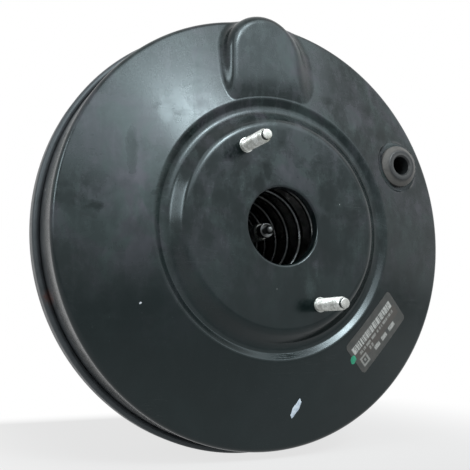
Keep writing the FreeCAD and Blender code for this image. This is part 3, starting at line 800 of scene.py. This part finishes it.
front_shell_skin()
rear_shell_skin()
return_spring_wire()
rod_spring_wire()
front_studs_threaded()
rear_studs_threaded()
input_rod_threaded()
dust_boot()
diaphragm_rubber()
film = label_film()
dot = paint_patch("paint_dot", (55.0, -80.4), 2.7, 2.3, 70, 0.32, 3)
stroke = paint_patch("paint_stroke", (14.5, -108.9), 5.9, 2.0, 60, 0.16, 5)
fleck = paint_patch("paint_fleck", (-85.5, -47.3), 0.8, 0.5, 30, 0.1, 8)


# Materials
class Look:
    """The nodes of a material or of the world, added one call at a time."""

    def __init__(self, owner, shader="Principled BSDF"):
        self.owner = owner
        self.owner.use_nodes = True
        self.tree = self.owner.node_tree
        self.shader = self.tree.nodes[shader]
        self.place = self.new("ShaderNodeTexCoord").outputs["Object"]

    def new(self, kind, inputs=None, **settings):
        """A node with its settings, and its inputs as values or as links."""
        node = self.tree.nodes.new(kind)
        for key, value in settings.items():
            setattr(node, key, value)
        for key, value in (inputs or {}).items():
            self.put(node.inputs[key], value)
        return node

    def put(self, socket, value):
        if isinstance(value, bpy.types.NodeSocket):
            self.tree.links.new(value, socket)
        else:
            socket.default_value = value

    def set(self, **inputs):
        for key, value in inputs.items():
            self.put(self.shader.inputs[key.replace("_", " ")], value)

    def stretched(self, x, y, z, turn=(0, 0, 0)):
        inputs = {"Vector": self.place, "Scale": (x, y, z), "Rotation": [math.radians(t) for t in turn]}
        return self.new("ShaderNodeMapping", inputs).outputs["Vector"]

    def noise(self, scale, detail=3.0, rough=0.55, at=None, shift=0.0):
        inputs = {"Vector": at or self.place, "Scale": scale, "Detail": detail, "Roughness": rough,
                  "Distortion": shift}
        return self.new("ShaderNodeTexNoise", inputs).outputs["Fac"]

    def ramp(self, value, low, high, out_low=0.0, out_high=1.0):
        inputs = {"Value": value, "From Min": low, "From Max": high, "To Min": out_low, "To Max": out_high}
        return self.new("ShaderNodeMapRange", inputs, interpolation_type="SMOOTHSTEP").outputs["Result"]

    def math(self, operation, a, b=0.0, clamp=False):
        node = self.new("ShaderNodeMath", {0: a, 1: b}, operation=operation, use_clamp=clamp)
        return node.outputs["Value"]

    def mix(self, factor, a, b):
        node = self.new("ShaderNodeMix", {"Factor": factor}, data_type="RGBA")
        for socket, colour in (("A", a), ("B", b)):
            slot = [i for i in node.inputs if i.name == socket and i.type == "RGBA"][0]
            self.put(slot, (*colour, 1.0) if isinstance(colour, tuple) else colour)
        return [o for o in node.outputs if o.type == "RGBA"][0]

    def times(self, a, b):
        return self.math("MULTIPLY", a, b)

    def plus(self, a, b, clamp=False):
        return self.math("ADD", a, b, clamp)

    def most(self, a, b):
        return self.math("MAXIMUM", a, b)

    def less(self, value, share):
        """1 where the value is 0, and less by the share where it is 1."""
        return self.math("SUBTRACT", 1.0, self.times(value, share))

    def reach(self, value, low, high, out_low=0.0, out_high=1.0):
        """A ramp between two places in millimetres."""
        return self.ramp(value, low * MM, high * MM, out_low, out_high)

    def blend_number(self, factor, a, b):
        node = self.new("ShaderNodeMix", {"Factor": factor, "A": a, "B": b}, data_type="FLOAT")
        return node.outputs["Result"]

    def near(self, point, inner, outer, scale=(1.0, 1.0, 1.0), turn=0.0, wobble=0.0, wobble_scale=300.0):
        """1 at a point given in millimetres, 0 past the outer distance."""
        centre = [v * MM for v in point]
        away = self.new("ShaderNodeVectorMath", {0: self.place, 1: centre}, operation="SUBTRACT")
        inputs = {"Vector": away.outputs["Vector"], "Rotation": (0, math.radians(turn), 0), "Scale": scale}
        turned = self.new("ShaderNodeMapping", inputs).outputs["Vector"]
        distance = self.new("ShaderNodeVectorMath", {0: turned}, operation="LENGTH").outputs["Value"]
        if wobble:
            uneven = self.ramp(self.noise(wobble_scale, 4.0, 0.6), 0.3, 0.7, -wobble * MM, wobble * MM)
            distance = self.plus(distance, uneven)
        return self.ramp(distance, inner * MM, outer * MM, 1.0, 0.0)

    def bump(self, height, strength, distance, before=None):
        inputs = {"Height": height, "Strength": strength, "Distance": distance * MM}
        if before:
            inputs["Normal"] = before
        return self.new("ShaderNodeBump", inputs).outputs["Normal"]

    def seen(self):
        """1 for rays from the camera, through glass or off a shiny face, 0 for those that only light."""
        rays = self.new("ShaderNodeLightPath").outputs
        total = self.plus(rays["Is Camera Ray"], rays["Is Glossy Ray"], True)
        return self.plus(total, rays["Is Transmission Ray"], True)

    def split(self, vector):
        return self.new("ShaderNodeSeparateXYZ", {0: vector}).outputs

    def radius(self, centre=(0.0, 0.0)):
        """Distance from a line along Y, whose x and z are in millimetres."""
        x, _, z = self.split(self.place)
        across = [self.math("SUBTRACT", v, c * MM) for v, c in zip((x, z), centre)]
        return self.math("SQRT", self.plus(*[self.times(v, v) for v in across]))


def new_look(name):
    return Look(bpy.data.materials.new(name))


# Marks in the paint: place and size in millimetres, and for patches stretch and turn
DUSTY = (
    ((-92.0, -108.0, 45.0), 34.0, (1.0, 0.4, 0.7), 20),
    ((-88.0, -109.0, -5.0), 30.0, (1.2, 0.4, 0.7), -10),
    ((66.0, -108.0, 76.0), 16.0, (0.7, 0.4, 1.6), 42),
    ((17.5, -120.0, -38.0), 9.0, (1.6, 0.4, 0.7), 12),
    ((22.6, -120.0, -27.0), 6.0, (1.8, 0.4, 0.7), -8),
)
CLEAN = (
    ((-1.2, -120.0, 56.5), 7.5, (2.0, 0.4, 0.75), 6),
    ((31.5, -120.0, 21.0), 10.0, (1.4, 0.4, 0.7), 8),
    ((27.5, -120.0, -6.0), 9.0, (1.6, 0.4, 0.5), 4),
    ((-16.1, -120.0, 23.5), 6.5, (1.7, 0.4, 0.8), -20),
    ((-10.7, -120.0, 34.0), 5.5, (1.8, 0.4, 0.7), -24),
    ((-92.0, -109.0, 39.0), 12.0, (3.2, 0.4, 0.7), 0),
    ((-73.0, -110.0, 64.0), 7.0, (1.6, 0.4, 0.8), 40),
    ((-112.0, -106.0, 6.0), 5.0, (0.9, 0.4, 1.3), 40),
    ((34.0, -111.0, 86.0), 9.0, (0.9, 0.4, 2.6), -14),
)
CHIPS = (
    ((-133.3, -78.3, 17.7), 0.6),
    ((-130.8, -72.1, 46.3), 0.45),
    ((40.0, -119.9, 16.0), 0.35),
    ((-5.0, -119.9, -38.0), 0.3),
    ((-56.0, -113.6, -12.0), 0.4),
    ((96.0, -110.0, -66.0), 0.5),
)
LONG_CHIP = (-131.0, -60.5, 46.0)
RUST_SPOT = (-127.4, -72.1, -43.8)


def shell_paint_look():
    look = new_look("shell_paint_look")
    _, y, z = look.split(look.place)
    clouds = look.noise(14.0, 4.0, 0.6, shift=0.6)
    colour = look.mix(look.ramp(clouds, 0.35, 0.68), (0.0013, 0.0040, 0.0038), (0.0030, 0.0066, 0.0066))
    mottle = look.ramp(look.noise(26.0, 6.0, 0.66, shift=0.3), 0.42, 0.64)
    blotch = look.ramp(look.noise(75.0, 5.0, 0.68, look.stretched(1.5, 1.0, 0.75, (0, 14, 0))), 0.44, 0.66)
    runs = look.ramp(look.noise(60.0, 4.0, 0.6, look.stretched(3.4, 1.0, 0.32), 0.4), 0.54, 0.76)
    specks = look.ramp(look.noise(900.0, 2.0, 0.5), 0.70, 0.78)
    dust = look.plus(look.times(mottle, 0.36), look.times(blotch, 0.28), True)
    dust = look.plus(dust, look.times(runs, 0.16), True)

    # Dust thinned towards the bottom, which also paints the lower shell darker as shade; more dust at upper
    # left and beside the pod; wet-looking patches with none
    dust = look.times(dust, look.reach(z, -80.0, 50.0, 0.06, 1.0))
    for place, size, scale, turn in DUSTY:
        patch = look.near(place, size * 0.2, size, scale, turn, 2.6, 90.0)
        dust = look.plus(dust, look.times(patch, 0.30), True)
    clean = None
    for place, size, scale, turn in CLEAN:
        patch = look.near(place, size * 0.45, size * 1.15, scale, turn, 1.6, 130.0)
        clean = patch if clean is None else look.most(clean, patch)
    grain = look.ramp(look.noise(210.0, 4.0, 0.6, look.stretched(1.8, 1.0, 0.6)), 0.30, 0.62, 0.72, 1.0)
    clean = look.times(clean, grain)
    dust = look.times(dust, look.less(clean, 0.95))
    dust = look.plus(dust, look.times(specks, 0.25), True)
    tint = look.ramp(look.noise(40.0, 3.0, 0.6, shift=0.8), 0.40, 0.62)
    settled = look.mix(tint, (0.052, 0.072, 0.070), (0.074, 0.068, 0.084))
    colour = look.mix(look.times(dust, 0.72), colour, settled)
    rough = look.blend_number(look.ramp(clouds, 0.3, 0.7), 0.17, 0.22)
    rough = look.plus(rough, look.times(dust, 0.24), True)
    rough = look.times(rough, look.less(clean, 0.45))
    smear = look.ramp(look.noise(34.0, 3.0, 0.5, look.stretched(1.0, 1.0, 2.6, (0, 32, 0)), 2.0), 0.50, 0.72)
    rough = look.plus(rough, look.times(smear, 0.07), True)

    # Dust that has settled on the side wall and in the groove of the rim
    groove = look.times(look.reach(y, behind(28.0), behind(46.0)),
                        look.reach(y, behind(62.0), behind(70.0), 1.0, 0.0))
    groove = look.times(groove, look.ramp(look.noise(110.0, 5.0, 0.66), 0.25, 0.70, 0.55, 1.0))
    colour = look.mix(look.times(groove, 0.75), colour, (0.070, 0.074, 0.080))
    rough = look.blend_number(look.times(groove, 0.8), rough, 0.52)

    # Paint rubbed thin on the rim, chips in it, and one rusty spot
    edge = look.reach(look.radius(), RIM_R - 2.4, RIM_R - 0.2)
    rubbed = look.times(edge, look.ramp(look.noise(240.0, 4.0, 0.65), 0.58, 0.70))
    colour = look.mix(look.times(rubbed, 0.35), colour, (0.10, 0.10, 0.098))
    chip = look.near(LONG_CHIP, 0.5, 1.4, (1.0, 1.0, 0.45), 0, 0.7)
    for place, size in CHIPS:
        chip = look.most(chip, look.near(place, size * 0.5, size * 1.6, wobble=0.4))
    colour = look.mix(chip, colour, (0.36, 0.36, 0.35))
    rust = look.near(RUST_SPOT, 1.0, 5.2, (1.0, 0.55, 0.8), 0, 1.6, 160.0)
    rust = look.times(rust, look.ramp(look.noise(420.0, 4.0, 0.7), 0.35, 0.6, 0.35, 1.0))
    colour = look.mix(look.times(rust, 0.75), colour, (0.085, 0.022, 0.012))
    rough = look.blend_number(rust, rough, 0.8)
    colour = look.mix(look.times(look.reach(y, -30.0, -12.0), 0.15), colour, (0.05, 0.05, 0.05))

    # Fine orange peel, a slight unevenness of the pressing, hairline scratches
    scratch = look.noise(70.0, 2.0, 0.5, look.stretched(0.35, 1.0, 14.0, (0, 24, 0)), 0.2)
    hair = look.ramp(look.math("ABSOLUTE", look.math("SUBTRACT", scratch, 0.5)), 0.0, 0.006, 1.0, 0.0)
    hair = look.times(hair, look.ramp(look.noise(20.0, 2.0, 0.5), 0.55, 0.7))
    normal = look.bump(look.noise(9.0, 2.0, 0.4), 0.35, 0.9)
    normal = look.bump(look.noise(620.0, 2.0, 0.5), 0.22, 0.05, normal)
    normal = look.bump(hair, 0.35, -0.03, normal)
    colour = look.mix(look.times(hair, 0.22), colour, (0.09, 0.09, 0.09))
    # The specular tint paints a bluish cast into the reflections, standing in for the colour of the light
    look.set(Base_Color=colour, Roughness=rough, Normal=normal, Specular_IOR_Level=0.39,
             Specular_Tint=(0.84, 0.96, 1.0, 1.0))
    return look.owner


def steel_look(name, bright, dark, rough, stain=0.3, tint=None):
    look = new_look(name)
    clouds = look.noise(170.0, 5.0, 0.66)
    fine = look.noise(1100.0, 2.0, 0.6)
    turned = look.noise(40.0, 2.0, 0.5, look.stretched(1.0, 60.0, 1.0))
    colour = look.mix(look.ramp(clouds, 0.35, 0.68), bright, dark)
    if tint:
        spots = look.ramp(look.noise(50.0, 3.0, 0.6), 0.45, 0.65)
        colour = look.mix(look.times(spots, stain), colour, tint)
    value = look.plus(look.ramp(clouds, 0.3, 0.7, rough - 0.06, rough + 0.08),
                      look.ramp(fine, 0.4, 0.7, 0.0, 0.08), True)
    normal = look.bump(fine, 0.25, 0.02)
    normal = look.bump(turned, 0.2, 0.02, normal)
    look.set(Base_Color=colour, Metallic=1.0, Roughness=value, Normal=normal)
    return look.owner


def rubber_look(name, colour, dusty, dust):
    look = new_look(name)
    clouds = look.noise(60.0, 4.0, 0.6, shift=0.4)
    grit = look.noise(1500.0, 3.0, 0.6)
    base = look.mix(look.times(look.ramp(clouds, 0.45, 0.72), dust), colour, dusty)
    value = look.ramp(clouds, 0.3, 0.7, 0.50, 0.65)
    look.set(Base_Color=base, Roughness=value, Normal=look.bump(grit, 0.4, 0.03), Specular_IOR_Level=0.35)
    return look.owner


def grommet_look():
    """Rubber that is dusty on its flange, dark and a little polished on the lip round its bore."""
    look = new_look("grommet_look")
    radius = look.radius(INLET)
    clouds = look.noise(150.0, 5.0, 0.62, shift=0.4)
    dusty = look.reach(radius, 9.8, 11.8)
    dusty = look.times(dusty, look.ramp(clouds, 0.30, 0.62, 0.45, 1.0))
    edge = look.times(look.reach(radius, 6.6, 7.4), look.reach(radius, 8.0, 9.0, 1.0, 0.0))
    base = look.mix(dusty, (0.016, 0.018, 0.019), (0.088, 0.084, 0.078))
    base = look.mix(look.times(edge, 0.35), base, (0.075, 0.075, 0.073))
    value = look.blend_number(dusty, look.ramp(clouds, 0.3, 0.7, 0.30, 0.42), 0.62)
    look.set(Base_Color=base, Roughness=value, Normal=look.bump(look.noise(1300.0, 3.0, 0.6), 0.4, 0.03),
             Specular_IOR_Level=0.4)
    return look.owner


def plastic_look(name, colour, other, rough):
    look = new_look(name)
    clouds = look.noise(120.0, 4.0, 0.6)
    base = look.mix(look.ramp(clouds, 0.35, 0.7), colour, other)
    look.set(Base_Color=base, Roughness=look.ramp(clouds, 0.3, 0.7, rough - 0.05, rough + 0.08),
             Normal=look.bump(look.noise(800.0, 3.0, 0.6), 0.3, 0.02))
    return look.owner


def foam_look():
    look = new_look("foam_look")
    inputs = {"Vector": look.place, "Scale": 900.0}
    cells = look.new("ShaderNodeTexVoronoi", inputs, feature="DISTANCE_TO_EDGE")
    pores = look.ramp(cells.outputs["Distance"], 0.02, 0.3)
    # Darker cell middles: painted shade in the recessed pores
    base = look.mix(pores, (0.11, 0.11, 0.11), (0.022, 0.022, 0.022))
    look.set(Base_Color=base, Roughness=0.95, Normal=look.bump(pores, 0.9, -0.4))
    return look.owner


def label_look():
    """Plain bars and blocks where the sticker has its print; they say nothing."""
    look = new_look("label_look")
    uv = look.new("ShaderNodeUVMap", uv_map="film")
    u, v, _ = look.split(uv.outputs["UV"])
    clouds = look.ramp(look.noise(180.0, 4.0, 0.6), 0.35, 0.7)
    film = look.mix(clouds, (0.030, 0.033, 0.031), (0.052, 0.051, 0.047))

    def within(value, low, high, soft=0.006):
        return look.times(look.ramp(value, low - soft, low + soft),
                          look.ramp(value, high - soft, high + soft, 1.0, 0.0))

    def block(low, high, left, right):
        return look.times(within(u, left, right), within(v, low, high, 0.012))

    def bars(low, high, left, right, scale, share, seed):
        lines = look.new("ShaderNodeTexNoise", noise_dimensions="1D")
        for socket, value in (("W", look.plus(u, seed)), ("Scale", scale), ("Detail", 1.0)):
            look.put(lines.inputs[socket], value)
        on = look.ramp(lines.outputs["Fac"], share - 0.02, share + 0.02)
        return look.times(on, block(low, high, left, right))

    pale = bars(0.20, 0.40, 0.07, 0.90, 52.0, 0.44, 3.0)
    for part in (block(0.20, 0.40, 0.05, 0.10), block(0.20, 0.40, 0.86, 0.91)):
        pale = look.most(pale, part)
    for left, right in ((0.34, 0.45), (0.50, 0.61), (0.67, 0.80)):
        pale = look.most(pale, look.times(block(0.72, 0.84, left, right), 0.8))
    grey = bars(0.46, 0.54, 0.12, 0.88, 34.0, 0.46, 9.0)
    for left, right in ((0.28, 0.31), (0.33, 0.36)):
        grey = look.most(grey, block(0.58, 0.68, left, right))
    square, hollow = block(0.60, 0.88, 0.07, 0.20), block(0.655, 0.825, 0.097, 0.173)
    square = look.math("SUBTRACT", square, hollow, True)
    grey = look.most(grey, look.most(square, block(0.70, 0.78, 0.12, 0.15)))
    brown = look.times(block(0.40, 0.70, 0.05, 0.95), 0.5)
    film = look.mix(brown, film, (0.060, 0.048, 0.040))
    worn = look.ramp(look.noise(700.0, 3.0, 0.6), 0.30, 0.55, 0.35, 1.0)
    colour = look.mix(look.times(pale, worn), film, (0.40, 0.40, 0.38))
    colour = look.mix(look.times(grey, look.times(worn, 0.6)), colour, (0.36, 0.36, 0.34))
    look.set(Base_Color=colour, Roughness=0.42, Normal=look.bump(look.noise(60.0, 2.0, 0.5), 0.2, 0.1))
    return look.owner


def mark_look(name, colour, other):
    look = new_look(name)
    clouds = look.noise(500.0, 3.0, 0.6)
    look.set(Base_Color=look.mix(look.ramp(clouds, 0.4, 0.65), colour, other),
             Roughness=look.ramp(clouds, 0.3, 0.7, 0.35, 0.55), Normal=look.bump(clouds, 0.5, 0.06))
    return look.owner


def wear(piece, material):
    data = piece.data
    if not data.materials:
        data.materials.append(material)
    for slot in piece.material_slots:
        slot.material = material


LOOKS = {
    "shell_paint": shell_paint_look(),
    "zinc_plate": steel_look("zinc_look", (0.60, 0.62, 0.60), (0.32, 0.33, 0.31), 0.24, 0.5,
                             (0.20, 0.21, 0.15)),
    "spring_steel": steel_look("spring_look", (0.085, 0.092, 0.094), (0.040, 0.043, 0.044), 0.28,
                               tint=(0.045, 0.038, 0.030)),
    "plate_steel": steel_look("steel_look", (0.26, 0.27, 0.27), (0.15, 0.155, 0.155), 0.30,
                              tint=(0.12, 0.10, 0.08)),
    "aluminium": steel_look("aluminium_look", (0.74, 0.74, 0.74), (0.62, 0.62, 0.62), 0.28),
    "grommet_rubber": grommet_look(),
    "boot_rubber": rubber_look("boot_look", (0.012, 0.012, 0.013), (0.05, 0.049, 0.046), 0.4),
    "seal_rubber": rubber_look("seal_look", (0.012, 0.012, 0.012), (0.03, 0.03, 0.03), 0.2),
    "phenolic": plastic_look("phenolic_look", (0.020, 0.018, 0.017), (0.030, 0.027, 0.024), 0.42),
    "nylon": plastic_look("nylon_look", (0.70, 0.68, 0.62), (0.62, 0.60, 0.54), 0.45),
    "foam": foam_look(),
}

for part in frame["record"]["subparts"]:
    wear(frame["nodes"][part["node"]], LOOKS[part["material_slot"]])
for piece in [o for o in bpy.data.objects if o.get("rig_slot")]:
    wear(piece, LOOKS[piece["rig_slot"]])
tip = steel_look("tip_look", (0.12, 0.125, 0.125), (0.06, 0.062, 0.062), 0.34)
wear(frame["nodes"]["output_rod_tip"], tip)
wear(film, label_look())
wear(dot, mark_look("green_mark", (0.012, 0.20, 0.11), (0.02, 0.30, 0.17)))
wear(stroke, mark_look("white_mark", (0.44, 0.50, 0.58), (0.62, 0.68, 0.74)))
wear(fleck, mark_look("pale_mark", (0.45, 0.47, 0.5), (0.55, 0.57, 0.6)))


# Floor: grey in front of the object; it fades to plain white over these stretches, in millimetres
FLOOR_HALF = 6.0
FLOOR_ROOM = 0.5 * MM
FLOOR_GREY = 0.34
FADE_MIDDLE = 20.0
FADE_BESIDE = (100.0, 340.0)
FADE_BEHIND = (20.0, 200.0)
FADE_BEFORE = (-550.0, -100.0)
FADE_FAR = (900.0, 1600.0)


def floor():
    z = cad_box[0][2] - FLOOR_ROOM
    corners = [(x * FLOOR_HALF, y * FLOOR_HALF, z) for x, y in ((-1, -1), (1, -1), (1, 1), (-1, 1))]
    data = bpy.data.meshes.new("floor")
    data.from_pydata(corners, [], [(0, 1, 2, 3)])
    plane = placed("floor", data)
    look = new_look("floor_look")
    look.set(Base_Color=(FLOOR_GREY, FLOOR_GREY, FLOOR_GREY, 1.0), Roughness=0.9, Specular_IOR_Level=0.1)
    x, y, _ = look.split(look.place)
    beside = look.math("ABSOLUTE", look.math("SUBTRACT", x, FADE_MIDDLE * MM))
    white = look.most(look.reach(beside, *FADE_BESIDE, 0.74, 1.0), look.reach(y, *FADE_BEHIND))
    white = look.times(white, look.reach(y, *FADE_BEFORE, 0.25, 1.0))
    white = look.most(white, look.reach(look.math("ABSOLUTE", y), *FADE_FAR))
    glow = look.new("ShaderNodeEmission", {"Color": (1, 1, 1, 1), "Strength": 1.0})
    parts = {0: look.times(white, look.seen()), 1: look.shader.outputs[0], 2: glow.outputs[0]}
    mix = look.new("ShaderNodeMixShader", parts)
    look.put(look.tree.nodes["Material Output"].inputs["Surface"], mix.outputs[0])
    data.materials.append(look.owner)


# Lamps: name, azimuth and elevation in degrees, distance, width and height in metres, radiance
LAMPS = (
    ("key", 8, 36, 1.6, 0.58, 0.37, 14.5),
    ("glint", 7, 38, 1.6, 0.15, 0.18, 30.0),
    ("bank", -8, 38, 1.7, 1.15, 1.15, 2.8),
    ("window", -60, 22, 1.6, 0.45, 0.65, 9.5),
    ("side_bank", 29.3, 38, 1.75, 1.14, 1.3, 2.1),
)
LAMP_COLOUR = (0.90, 0.97, 1.0)
LAMPS_ROUND = (0, -0.08, 0)
WORLD_LEVEL = 0.2


def soft_light(name, azimuth, elevation, distance, width, height, radiance):
    """A rectangular lamp that faces the object, given by the light that each part of it sends."""
    az, el = math.radians(azimuth), math.radians(elevation)
    way = Vector((math.sin(az) * math.cos(el), -math.cos(az) * math.cos(el), math.sin(el)))
    lamp = bpy.data.lights.new(name, "AREA")
    lamp.shape = "RECTANGLE"
    lamp.size = width
    lamp.size_y = height
    lamp.energy = radiance * math.pi * width * height
    lamp.color = LAMP_COLOUR
    thing = placed(name, lamp)
    thing.location = way * distance + Vector(LAMPS_ROUND)
    thing.rotation_euler = way.to_track_quat("Z", "Y").to_euler()


def world():
    """Plain white where it is seen, and dimmer where it only lights."""
    look = Look(bpy.data.worlds.new("world"), "Background")
    level = look.new("ShaderNodeMapRange", {"Value": look.seen(), "To Min": WORLD_LEVEL, "To Max": 1.0})
    look.set(Strength=level.outputs["Result"], Color=(1, 1, 1, 1))
    bpy.context.scene.world = look.owner


# Camera: place in metres, its two directions, sensor in millimetres, focal length and picture in pixels
CAMERA_AT = (-0.2080, -0.4861, -0.0632)
CAMERA_RIGHT = (0.9018, -0.4321, 0.0)
CAMERA_AHEAD = (0.4281, 0.8935, 0.1357)
SENSOR = 36.0
FOCAL_PX = 709.0
PICTURE_PX = 470.0


def camera():
    data = bpy.data.cameras.new("camera")
    data.sensor_fit = "HORIZONTAL"
    data.sensor_width = SENSOR
    data.lens = SENSOR * FOCAL_PX / PICTURE_PX
    data.clip_start = 0.01
    thing = placed("camera", data)
    right = Vector(CAMERA_RIGHT).normalized()
    up = right.cross(Vector(CAMERA_AHEAD)).normalized()
    turned = Matrix((right, up, right.cross(up))).transposed()
    thing.matrix_world = Matrix.Translation(CAMERA_AT) @ turned.to_4x4()
    bpy.context.scene.camera = thing


floor()
world()
for lamp in LAMPS:
    soft_light(*lamp)
camera()
bpy.context.scene.view_settings.view_transform = "Standard"
